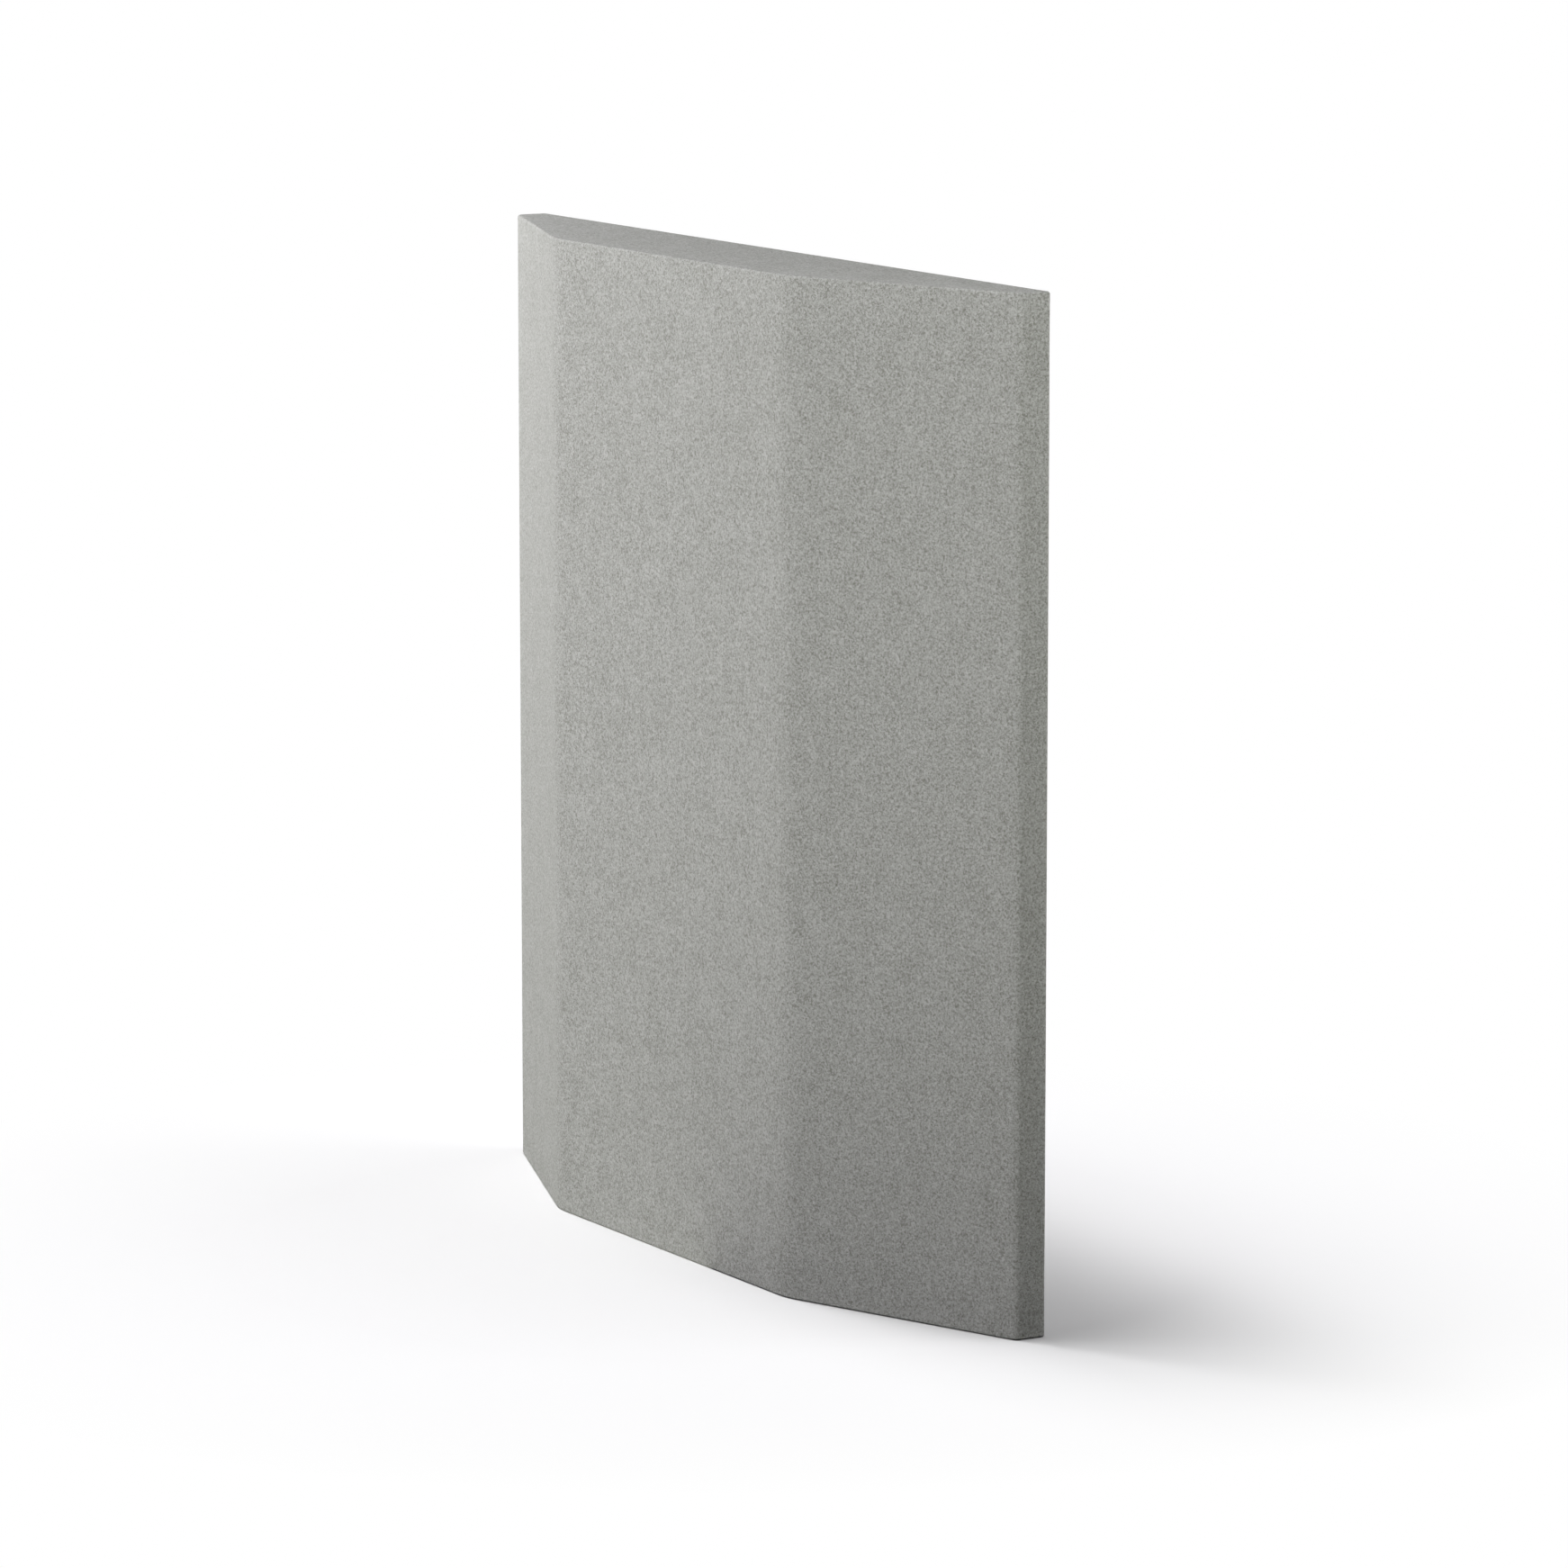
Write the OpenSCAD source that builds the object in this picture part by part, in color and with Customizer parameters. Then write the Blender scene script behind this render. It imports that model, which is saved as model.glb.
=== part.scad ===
// Upholstered relief wall panel: a plywood frame and end formers, an absorber core in a
// trapezium relief, a felt cover, and keyhole hangers on the back.
// +X is the width, +Z is up, and the relief faces -Y. The origin is on the lower edge, at the
// middle of the overall box.

/* [Overall size] */
// Width of the panel
panel_w = 600; // [480:5:900]
// Height of the panel
panel_h = 600; // [400:5:1200]
// Depth from the felt on the back to the front facet
panel_d = 80; // [60:1:120]
// Depth of the straight edge at each side
edge_d = 20; // [19:0.5:40]
// Width of the flat front facet
facet_w = 280; // [180:5:360]

/* [Felt cover] */
// Thickness of the felt
felt_t = 1.5; // [1:0.1:3]
// Radius of the cover along the back of each side edge
corner_r = 2.5; // [1:0.1:4]
// Radius of the cover where each side edge meets its bevel
edge_r = 4.5; // [1:0.1:6]
// Radius of the cover at the two creases between the bevels and the front facet
crease_r = 44; // [10:1:80]
// Width of the hem that is turned onto the back
hem_w = 35; // [30:1:45]

/* [Frame and formers] */
// Thickness of the frame
frame_t = 15; // [12:0.5:16]
// Width of the top rail
top_rail_w = 75; // [70:1:90]
// Width of the bottom rail and of the three stiles
rail_w = 60; // [50:1:75]
// Radius of a dowel
dowel_r = 3; // [2:0.5:3]
// Length of a dowel
dowel_l = 40; // [24:2:50]
// Distance between the two dowels of a joint
dowel_pitch = 25; // [16:1:28]
// Thickness of an end former
former_t = 9; // [8:0.5:15]

/* [Core] */
// Thickness of the fleece over the core
fleece_t = 2; // [1:0.1:3]
// Gap around each slab that fills the frame
infill_gap = 0.5; // [0.2:0.1:0.9]

/* [Dust cover and staples] */
// Thickness of the dust cover
dust_t = 0.5; // [0.3:0.1:0.8]
// Distance from the panel's edge to the dust cover's edge
dust_inset = 26; // [22:1:27]
// Distance from the panel's edge to the staples in the hem
hem_staple_inset = 18; // [12:1:19]
// Greatest distance between staples in the hem
hem_staple_pitch = 46; // [30:1:80]
// Greatest distance between staples in the dust cover
dust_staple_pitch = 60; // [40:1:100]
// Length of a staple's crown
crown_w = 10; // [6:0.5:12]
// Length of a staple's legs
leg_l = 5.5; // [4:0.5:5.5]

/* [Hangers and pads] */
// Distance from the panel's side to the middle of its hanger
hanger_inset = 100; // [80:5:150]
// Gap between the hem and a hanger plate below it
hanger_gap = 4; // [1:0.5:8]
// Width of a hanger plate
plate_w = 57; // [50:1:64]
// Height of a hanger plate
plate_h = 22; // [20:1:24]
// Thickness of a hanger plate
plate_t = 1.5; // [1:0.1:2]
// Distance between the two screws of a hanger plate
plate_screw_pitch = 44; // [38:1:48]
// Radius of the keyhole's entry, which takes the head of a wall screw
entry_r = 5; // [4:0.1:5.5]
// Half of the width of the keyhole's slot, which takes the screw's shank
slot_r = 2.6; // [2.2:0.1:3]
// Distance that the panel drops on the wall screws
drop_l = 8; // [7:0.5:9]
// Depth of the pocket in the rail behind a keyhole
pocket_depth = 5; // [4:0.5:8]
// Radius of a wall pad
pad_r = 6; // [4:0.5:8]
// Thickness of a wall pad
pad_t = 2; // [1.5:0.1:4]
// Distance from the panel's edges to the middle of a wall pad
pad_inset = 13; // [10:1:16]

/* [Hidden] */

$fn = 40;

// How far a cutting shape reaches past the surface that it cuts
past = 1;
// Segments in an arc of the cover's outline
arc_steps = 6;

// Clearances: around a dowel, around a screw, and around a staple
glue_gap = 0.1;
screw_gap = 0.1;
staple_gap = 0.05;
// Air at each end of a dowel's hole
dowel_end_gap = 1;

// Countersunk screws: [shank radius, head radius, length]
FORMER_SCREW = [1.75, 3.5, 35];
HANGER_SCREW = [1.75, 3.4, 13];
// Cross recess in a screw's head: [length, width, depth]
CROSS = [3.6, 0.8, 1.2];
// Former screws: distance in from the panel's side, and in from the crease
former_screw_inset = 100;
former_screw_crease_inset = 70;
// Section of a staple's wire: [width, thickness]
WIRE = [0.7, 0.6];
// Distance from the panel's corners to the first staple of a row
hem_staple_margin = 50;
dust_staple_margin = 60;
// Corner radius of a hanger plate
plate_corner_r = 3;
// Room around the head of a wall screw in its pocket
pocket_gap = 1;

// Planes along Y, from the back to the front
y_pad = (panel_d + pad_t) / 2;
y_back = y_pad - pad_t;
y_front = y_back - panel_d;
y_frame_back = y_back - felt_t;
y_frame_front = y_frame_back - frame_t;
y_plate = y_frame_back + dust_t + plate_t;

// Planes along Z, inside the two caps of the cover
z_low = felt_t;
z_high = panel_h - felt_t;
z_core_low = z_low + former_t;
z_core_high = z_high - former_t;

// Planes along X
x_frame = panel_w / 2 - felt_t;
x_stile = x_frame - rail_w / 2;

// Joints between the rails and the stiles
z_joint_low = z_low + rail_w;
z_joint_high = z_high - top_rail_w;

hanger_x = panel_w / 2 - hanger_inset;
hanger_z = panel_h - hem_w - hanger_gap - plate_h / 2;
// The keyhole's travel is centred on the plate
entry_z = hanger_z - drop_l / 2;
slot_z = hanger_z + drop_l / 2;
pocket_r = entry_r + pocket_gap;

// Middle of the dust cover's lap over the hem
dust_staple_inset = (dust_inset + hem_w) / 2;

// Plan outlines, anticlockwise from the back left corner. An edge's inset is its distance
// inwards from the cover's outer surface.
function turned(v) = [-v[1], v[0]];
function unit(v) = v / norm(v);
function before(p, i) = (i + len(p) - 1) % len(p);
function along(p, i) = unit(p[(i + 1) % len(p)] - p[i]);
function moved_in(p, i, d) = p[i] + d * turned(along(p, i));
function meet(p, u, q, v) = p + u * (cross(q - p, v) / cross(u, v));
function inset(p, d) = [
    for (i = [0:len(p) - 1])
        let (j = before(p, i))
        meet(moved_in(p, j, d[j]), along(p, j), moved_in(p, i, d[i]), along(p, i))
];
function arc(p, u, v, r) =
    let (turn = acos(u * v), centre = p + (turned(u) - u * tan(turn / 2)) * r)
    let (first = atan2(-u[0], u[1]))
    [for (k = [0:arc_steps]) let (a = first + turn * k / arc_steps) centre + r * [cos(a), sin(a)]];
function rounded(p, r) = [
    for (i = [0:len(p) - 1])
        each r[i] > 0 ? arc(p[i], along(p, before(p, i)), along(p, i), r[i]) : [p[i]]
];

SHARP_OUTLINE = [
    [-panel_w / 2, y_back],
    [-panel_w / 2, y_back - edge_d],
    [-facet_w / 2, y_front],
    [facet_w / 2, y_front],
    [panel_w / 2, y_back - edge_d],
    [panel_w / 2, y_back],
];
// The outline at one inset from the sides, from the three front faces and from the back
function outline(side, front, back, back_r) = rounded(
    inset(SHARP_OUTLINE, [side, front, front, front, side, back]),
    let (bend = max(edge_r - front, 0), crease = crease_r - front)
    [back_r, bend, crease, crease, bend, back_r]
);
COVER_OUTLINE = outline(0, 0, 0, corner_r);
// Inside of the cover
LINING = outline(felt_t, felt_t, felt_t, 0);
// Inside of the fleece, which lies on the three front faces only
under_fleece = felt_t + fleece_t;
CARCASS = outline(felt_t, under_fleece, felt_t, 0);

// Evenly spaced places over a span, centred on zero and no further apart than the pitch
function spread(span, pitch) =
    let (gaps = max(1, ceil(span / pitch)))
    [for (k = [0:gaps]) span * (k / gaps - 1 / 2)];
// Staples round the back: [x, z, turn], with the crown parallel to the nearest edge
function staple_ring(inset, margin, pitch) = concat(
    [for (x = spread(panel_w - 2 * margin, pitch), z = [inset, panel_h - inset]) [x, z, 0]],
    [
        for (z = spread(panel_h - 2 * margin, pitch), x = [-1, 1] * (panel_w / 2 - inset))
            [x, panel_h / 2 + z, 90]
    ]
);
HEM_STAPLES = staple_ring(hem_staple_inset, hem_staple_margin, hem_staple_pitch);
DUST_STAPLES = staple_ring(dust_staple_inset, dust_staple_margin, dust_staple_pitch);

// The outer dowel of a corner runs between the two rows of staples beside it
x_outer_dowel = panel_w / 2 - (hem_staple_inset + dust_staple_inset) / 2;
DOWELS = [
    for (
        x = [dowel_pitch / 2, x_outer_dowel - dowel_pitch, x_outer_dowel],
        side = [-1, 1],
        z = [z_joint_low, z_joint_high]
    ) [side * x, z]
];
FORMER_SCREWS = [
    for (
        x = [panel_w / 2 - former_screw_inset, facet_w / 2 - former_screw_crease_inset],
        side = [-1, 1],
        z = [z_low + former_t / 2, z_high - former_t / 2]
    ) [side * x, z]
];
HANGER_SCREWS = [
    for (x = [-hanger_x, hanger_x], side = [-1, 1])
        [x + side * plate_screw_pitch / 2, hanger_z]
];

// Whether a staple's crown can reach into the range from low to high
function near(place, low, high) = place > low - crown_w && place < high + crown_w;

// Draws its children with their XY plane on the panel's back at y, and their +Z into the panel
module on_back(y, x = 0, z = 0) {
    translate([x, y, z]) rotate([90, 0, 0]) children();
}

// A block between two corners
module block(low, high) {
    translate(low) cube(high - low);
}

// An upright prism of a plan outline
module upright(outline, z0, z1) {
    translate([0, 0, z0]) linear_extrude(z1 - z0) polygon(outline);
}

// The part of the carcass between two heights, and between two planes along X, in front of
// the frame
module relief(x0, x1, z0, z1) {
    intersection() {
        upright(CARCASS, z0, z1);
        block([x0, y_front, z0 - past], [x1, y_frame_front, z1 + past]);
    }
}

module staple() {
    translate([-crown_w / 2, -WIRE[0] / 2, 0]) cube([crown_w, WIRE[0], WIRE[1]]);
    for (side = [-1, 1])
        translate([side * (crown_w - WIRE[1]) / 2 - WIRE[1] / 2, -WIRE[0] / 2, 0])
            cube([WIRE[1], WIRE[0], leg_l]);
}

// The space that a staple takes: its crown sinks flush, and its legs have a little room
module staple_room() {
    room = 2 * staple_gap;
    translate([-crown_w / 2 - staple_gap, -WIRE[0] / 2 - staple_gap, -past])
        cube([crown_w + room, WIRE[0] + room, WIRE[1] + past]);
    for (side = [-1, 1])
        translate([side * (crown_w - WIRE[1]) / 2, 0, (leg_l + staple_gap) / 2])
            cube([WIRE[1] + room, WIRE[0] + room, leg_l + staple_gap], center = true);
}

module staple_rooms(places, y) {
    for (p = places) on_back(y, p[0], p[1]) rotate([0, 0, p[2]]) staple_room();
}

module staples(places, y) {
    for (p = places) on_back(y, p[0], p[1]) rotate([0, 0, p[2]]) staple();
}

// A countersunk wood screw that points into the panel, with its head flush at zero
module wood_screw(size) {
    head_l = size[1] - size[0];
    tip_l = 2 * size[0];
    difference() {
        union() {
            cylinder(h = head_l, r1 = size[1], r2 = size[0]);
            cylinder(h = size[2] - tip_l, r = size[0]);
            translate([0, 0, size[2] - tip_l]) cylinder(h = tip_l, r1 = size[0], r2 = 0.2);
        }
        for (turn = [0, 90])
            rotate([0, 0, turn])
                translate([-CROSS[0] / 2, -CROSS[1] / 2, -past])
                cube([CROSS[0], CROSS[1], CROSS[2] + past]);
    }
}

// The hole for such a screw, with its countersink
module screw_hole(size) {
    head_l = size[1] - size[0];
    grown = size[1] + screw_gap;
    translate([0, 0, -past]) cylinder(h = past, r = grown);
    cylinder(h = head_l, r1 = grown, r2 = size[0] + screw_gap);
    cylinder(h = size[2] + screw_gap, r = size[0] + screw_gap);
}

module former_screw_holes() {
    for (p = FORMER_SCREWS) on_back(y_frame_back, p[0], p[1]) screw_hole(FORMER_SCREW);
}

module hanger_screw_holes() {
    for (p = HANGER_SCREWS) on_back(y_plate, p[0], p[1]) screw_hole(HANGER_SCREW);
}

// Every opening of a keyhole: an entry, a narrower slot above it, and a depth from y
module keyhole(x, y, low_r, high_r, depth) {
    on_back(y + past, x) {
        translate([0, entry_z, 0]) cylinder(h = depth + past, r = low_r);
        translate([0, slot_z, 0]) cylinder(h = depth + past, r = high_r);
        translate([-high_r, entry_z, 0]) cube([2 * high_r, drop_l, depth + past]);
    }
}

module pockets(y, depth) {
    for (x = [-hanger_x, hanger_x]) keyhole(x, y, pocket_r, pocket_r, depth);
}

// A flat bar of the frame. Its outer front edge follows the relief where the two meet.
module frame_bar(x0, x1, z0, z1) {
    difference() {
        intersection() {
            block([x0, y_frame_front, z0], [x1, y_frame_back, z1]);
            upright(CARCASS, z0 - past, z1 + past);
        }
        for (p = DOWELS)
            if (p[0] > x0 && p[0] < x1)
                translate([p[0], (y_frame_back + y_frame_front) / 2, p[1]])
                    cylinder(h = dowel_l + 2 * dowel_end_gap, r = dowel_r + glue_gap, center = true);
        staple_rooms(
            [
                for (p = concat(HEM_STAPLES, DUST_STAPLES))
                    if (near(p[0], x0, x1) && near(p[1], z0, z1)) p
            ],
            y_back
        );
    }
}

module frame_top_rail() {
    color("burlywood") difference() {
        frame_bar(-x_frame, x_frame, z_joint_high, z_high);
        former_screw_holes();
        hanger_screw_holes();
        pockets(y_frame_back, pocket_depth);
    }
}

module frame_bottom_rail() {
    color("burlywood") difference() {
        frame_bar(-x_frame, x_frame, z_low, z_joint_low);
        former_screw_holes();
    }
}

module stile(x) {
    color("tan") frame_bar(x - rail_w / 2, x + rail_w / 2, z_joint_low, z_joint_high);
}

module frame_left_stile() {
    stile(-x_stile);
}

module frame_right_stile() {
    stile(x_stile);
}

module frame_centre_stile() {
    stile(0);
}

module frame_dowels() {
    color("peru") for (p = DOWELS)
        translate([p[0], (y_frame_back + y_frame_front) / 2, p[1]])
            cylinder(h = dowel_l, r = dowel_r, center = true);
}

module former(z) {
    color("wheat") difference() {
        relief(-x_frame, x_frame, z, z + former_t);
        former_screw_holes();
    }
}

module top_former() {
    former(z_core_high);
}

module bottom_former() {
    former(z_low);
}

module former_screws() {
    color("silver") for (p = FORMER_SCREWS)
        on_back(y_frame_back, p[0], p[1]) wood_screw(FORMER_SCREW);
}

// A slab that fills the opening between the centre stile and one outer stile
module infill(side) {
    x_near = rail_w / 2 + infill_gap;
    x_far = x_frame - rail_w - infill_gap;
    color("gainsboro") block(
        [min(side * x_near, side * x_far), y_frame_front, z_joint_low + infill_gap],
        [max(side * x_near, side * x_far), y_frame_back, z_joint_high - infill_gap]
    );
}

module infill_left() {
    infill(-1);
}

module infill_right() {
    infill(1);
}

// The core is split in line with the creases of the relief
module core_centre_block() {
    color("lightgray") relief(-facet_w / 2, facet_w / 2, z_core_low, z_core_high);
}

module core_left_wedge() {
    color("silver") relief(-x_frame, -facet_w / 2, z_core_low, z_core_high);
}

module core_right_wedge() {
    color("silver") relief(facet_w / 2, x_frame, z_core_low, z_core_high);
}

module fleece_wrap() {
    color("white") difference() {
        upright(LINING, z_low, z_high);
        upright(outline(-past, under_fleece, -past, 0), z_low - past, z_high + past);
    }
}

// The room that both rings of staples take in the felt
module hem_staple_rooms() {
    staple_rooms(concat(HEM_STAPLES, DUST_STAPLES), y_back);
}

// One piece of felt over the front, the bevels and the sides, with a hem along each side of
// the back between the hems of the two caps
module cover_front_panel() {
    x_hem = panel_w / 2 - hem_w;
    color("darkgray") difference() {
        upright(COVER_OUTLINE, z_low, z_high);
        upright(LINING, z_low - past, z_high + past);
        block([-x_hem, y_frame_back - past, z_low - past], [x_hem, y_back + past, z_high + past]);
        for (z = [[z_low - past, hem_w], [panel_h - hem_w, z_high + past]])
            block([-panel_w, y_frame_back, z[0]], [panel_w, y_back + past, z[1]]);
        hem_staple_rooms();
    }
}

// An end of the cover: a plate of felt and the hem that it turns onto the back
module cap(z_plate, z_hem) {
    color("gray") difference() {
        union() {
            upright(COVER_OUTLINE, z_plate, z_plate + felt_t);
            intersection() {
                upright(COVER_OUTLINE, z_hem, z_hem + hem_w);
                block([-panel_w, y_frame_back, z_hem], [panel_w, y_back + past, z_hem + hem_w]);
            }
        }
        hem_staple_rooms();
    }
}

module cover_top_cap() {
    cap(z_high, panel_h - hem_w);
}

module cover_bottom_cap() {
    cap(0, 0);
}

module cover_staples() {
    color("lightsteelblue") staples(HEM_STAPLES, y_back);
}

// The area inside a border of the back, between two planes along Y
module back_field(border, y0, y1) {
    x = panel_w / 2 - border;
    block([-x, y0, border], [x, y1, panel_h - border]);
}

// A sheet that laps the raw edge of the hem and lies on the frame inside it
module dust_cover() {
    step = hem_w + dust_t;
    color("dimgray") difference() {
        union() {
            back_field(dust_inset, y_back, y_back + dust_t);
            back_field(hem_w, y_frame_back, y_back + dust_t);
        }
        back_field(step, y_frame_back + dust_t, y_back + dust_t + past);
        staple_rooms(DUST_STAPLES, y_back + dust_t);
        hanger_screw_holes();
        pockets(y_frame_back + dust_t, dust_t + past);
    }
}

module dust_cover_staples() {
    color("lightsteelblue") staples(DUST_STAPLES, y_back + dust_t);
}

module hanger_plate(x) {
    half = [plate_w / 2, plate_h / 2];
    corners = [[-half[0], -half[1]], [half[0], -half[1]], half, [-half[0], half[1]]];
    color("silver") difference() {
        on_back(y_plate, x, hanger_z)
            linear_extrude(plate_t) polygon(rounded(corners, [for (i = [0:3]) plate_corner_r]));
        keyhole(x, y_plate, entry_r, slot_r, plate_t + past);
        hanger_screw_holes();
    }
}

module hanger_plate_left() {
    hanger_plate(-hanger_x);
}

module hanger_plate_right() {
    hanger_plate(hanger_x);
}

module hanger_screws() {
    color("gainsboro") for (p = HANGER_SCREWS)
        on_back(y_plate, p[0], p[1]) wood_screw(HANGER_SCREW);
}

module wall_pads() {
    x = panel_w / 2 - pad_inset;
    color("black") for (side = [-1, 1], z = [pad_inset, panel_h - pad_inset])
        on_back(y_pad, side * x, z) cylinder(h = pad_t, r = pad_r);
}

frame_top_rail();
frame_bottom_rail();
frame_left_stile();
frame_right_stile();
frame_centre_stile();
frame_dowels();
top_former();
bottom_former();
former_screws();
infill_left();
infill_right();
core_centre_block();
core_left_wedge();
core_right_wedge();
fleece_wrap();
cover_front_panel();
cover_top_cap();
cover_bottom_cap();
cover_staples();
dust_cover();
dust_cover_staples();
hanger_plate_left();
hanger_plate_right();
hanger_screws();
wall_pads();
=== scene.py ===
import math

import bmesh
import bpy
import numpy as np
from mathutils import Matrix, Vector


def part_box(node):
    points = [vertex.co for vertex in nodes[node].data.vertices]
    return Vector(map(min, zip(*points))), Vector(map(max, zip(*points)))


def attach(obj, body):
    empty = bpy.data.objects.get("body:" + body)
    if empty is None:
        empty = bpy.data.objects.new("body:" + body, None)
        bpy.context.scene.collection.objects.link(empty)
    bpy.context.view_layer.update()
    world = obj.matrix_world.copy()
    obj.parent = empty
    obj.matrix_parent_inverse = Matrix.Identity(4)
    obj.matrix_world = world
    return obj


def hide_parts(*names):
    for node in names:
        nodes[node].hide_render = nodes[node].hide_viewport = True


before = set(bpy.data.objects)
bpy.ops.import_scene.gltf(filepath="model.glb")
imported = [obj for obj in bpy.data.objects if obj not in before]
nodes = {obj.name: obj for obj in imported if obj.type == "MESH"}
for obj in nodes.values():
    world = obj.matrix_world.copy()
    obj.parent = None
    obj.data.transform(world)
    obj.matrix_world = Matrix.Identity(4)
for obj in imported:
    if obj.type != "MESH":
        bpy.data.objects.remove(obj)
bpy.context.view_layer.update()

# %% [markdown]
# # An upholstered relief wall panel
# The real object is a felt-covered panel that hangs on a wall to soak up sound. Its plywood frame, its
# formers and its core are already here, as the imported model. This lesson adds what a maker would add on
# the bench: the felt, the staples, the dust cover, the hangers and the pads. Everything is in metres, +Z is
# up, the relief faces -Y, and the panel stands on its lower edge.

MM = 0.001

# %% [markdown]
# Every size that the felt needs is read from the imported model, so that the cover fits whatever the frame
# measures. The few radii and the depth of the side edge are the upholsterer's own values.

# %% Sizes taken from the frame
cap_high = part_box("cover_top_cap")[1]
wrap_low, wrap_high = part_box("cover_front_panel")
dust_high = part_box("dust_cover")[1]

HALF_WIDTH = wrap_high.x
HEIGHT = cap_high.z
BACK = wrap_high.y
FRONT = wrap_low.y
FELT = cap_high.z - wrap_high.z
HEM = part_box("cover_bottom_cap")[1].z
HALF_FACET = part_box("core_centre_block")[1].x
FRAME_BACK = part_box("frame_centre_stile")[1].y
DUST_INSET = HALF_WIDTH - dust_high.x
DUST_THICKNESS = dust_high.y - BACK

EDGE_DEPTH = 20 * MM
EDGE_RADIUS = 4.5 * MM
CREASE_RADIUS = 44 * MM
CORNER_RADIUS = 2.5 * MM
RIM_RADIUS = 1.4 * MM
QUARTER = math.pi / 2
print("panel", round(2 * HALF_WIDTH, 4), "x", round(HEIGHT, 4), "felt", round(FELT / MM, 2), "mm")

# %% [markdown]
# ## The camera
# A long lens far away keeps the upright edges almost parallel. The camera stands to the right of the panel
# and a little above it, and looks along the front, so that both bevels and the right edge show.

# %% Camera
CAMERA_PLACE = (3.8799, -2.1985, 1.0007)
CAMERA_TURN = 1.0477
CAMERA_DIP = 0.1598
CAMERA_LENS = 173.43

bpy.ops.object.select_all(action="DESELECT")
bpy.ops.object.camera_add(location=CAMERA_PLACE, rotation=(QUARTER - CAMERA_DIP, 0, CAMERA_TURN))
camera = bpy.context.object
camera.name = "product_camera"
camera.data.lens = CAMERA_LENS
bpy.context.scene.camera = camera
bpy.context.scene.view_settings.view_transform = "Standard"
print("camera looks along", [round(-v, 3) for v in camera.matrix_basis.col[2][:3]])

# %% [markdown]
# ## Working in edit mode
# Each piece starts as a primitive and is shaped with the same operators that a person clicks. An operator
# acts on what is selected, so these helpers first clear the selection. Later ones choose faces or edges by
# where they are and which way they face.

# %% Helpers for objects
def pick(obj):
    """Makes obj the only selected object, and the active one."""
    if bpy.context.mode != "OBJECT":
        bpy.ops.object.mode_set(mode="OBJECT")
    bpy.ops.object.select_all(action="DESELECT")
    obj.select_set(True)
    bpy.context.view_layer.objects.active = obj


def block(name, low, high):
    """A box between two corners."""
    bpy.ops.object.select_all(action="DESELECT")
    low, high = Vector(low), Vector(high)
    bpy.ops.mesh.primitive_cube_add(size=1, location=(low + high) / 2, scale=high - low)
    made = bpy.context.object
    made.name = name
    bpy.ops.object.transform_apply(location=True, rotation=True, scale=True)
    return made


# %% Helpers for edit mode
def open_mesh(obj, kind, action="DESELECT"):
    """Enters edit mode with nothing selected, or with everything. kind is VERT, EDGE or FACE."""
    pick(obj)
    bpy.ops.object.mode_set(mode="EDIT")
    bpy.ops.mesh.select_mode(type=kind)
    bpy.ops.mesh.select_all(action=action)


def close_mesh():
    """Leaves edit mode, which writes the changes to the mesh."""
    bpy.ops.object.mode_set(mode="OBJECT")


def cut(point, normal, drop=False):
    """Cuts what is selected along a plane. With drop, the side that normal points to goes."""
    bpy.ops.mesh.bisect(plane_co=point, plane_no=normal, use_fill=drop, clear_outer=drop)


# %% [markdown]
# ## The form under the felt
# The outside of the cover is one closed shape: a block with two long bevels. It is cut from a cube with the
# bisect operator, and its edges are then rounded as felt rounds them: barely at the corners, and in a wide
# soft curve at the two creases of the relief. A bevel is set by its length along each face, which is the
# radius times the tangent of half the angle that the surface turns through.

# %% Block and bevels
form = block("felt_form", (-HALF_WIDTH, FRONT, 0), (HALF_WIDTH, BACK, HEIGHT))
bevel_run = HALF_WIDTH - HALF_FACET
bevel_rise = BACK - EDGE_DEPTH - FRONT
bevel_turn = math.atan2(bevel_rise, bevel_run)
for side in (-1, 1):
    open_mesh(form, "FACE", "SELECT")
    cut((side * HALF_FACET, FRONT, 0), (side * bevel_rise, -bevel_run, 0), drop=True)
    close_mesh()
print("faces of the form:", len(form.data.polygons), "bevel turns", round(math.degrees(bevel_turn), 1))


# %% Rounding the upright edges
ARC_STEPS = 8
NEAR = 0.1 * MM


def choose_edges(obj, wanted):
    """Selects the edges for which wanted(one end, other end) is true, and counts them."""
    mesh = bmesh.from_edit_mesh(obj.data)
    for edge in mesh.edges:
        edge.select_set(bool(wanted(edge.verts[0].co, edge.verts[1].co)))
    bmesh.update_edit_mesh(obj.data)
    return sum(edge.select for edge in mesh.edges)


def round_edges(obj, wanted, radius, turn, steps):
    """Rounds the wanted edges to a radius, where the surface turns through the angle turn."""
    open_mesh(obj, "EDGE")
    found = choose_edges(obj, wanted)
    bpy.ops.mesh.bevel(offset=radius * math.tan(turn / 2), segments=steps, affect="EDGES")
    close_mesh()
    return found


def upright_at(x, y):
    """Whether an edge runs upright through one place of the plan, on either side."""
    def test(a, b):
        near = max(abs(abs(v.x) - x) + abs(v.y - y) for v in (a, b))
        return near < NEAR and abs(a.z - b.z) > HEIGHT / 2
    return test


creases = round_edges(form, upright_at(HALF_FACET, FRONT), CREASE_RADIUS, bevel_turn, ARC_STEPS)
edge_place = upright_at(HALF_WIDTH, BACK - EDGE_DEPTH)
edges = round_edges(form, edge_place, EDGE_RADIUS, QUARTER - bevel_turn, ARC_STEPS)
corners = round_edges(form, upright_at(HALF_WIDTH, BACK), CORNER_RADIUS, QUARTER, ARC_STEPS)
print("rounded", creases, "creases,", edges, "edges and", corners, "back corners")


# %% Rounding the rims
TOUCH = 0.01 * MM


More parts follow.
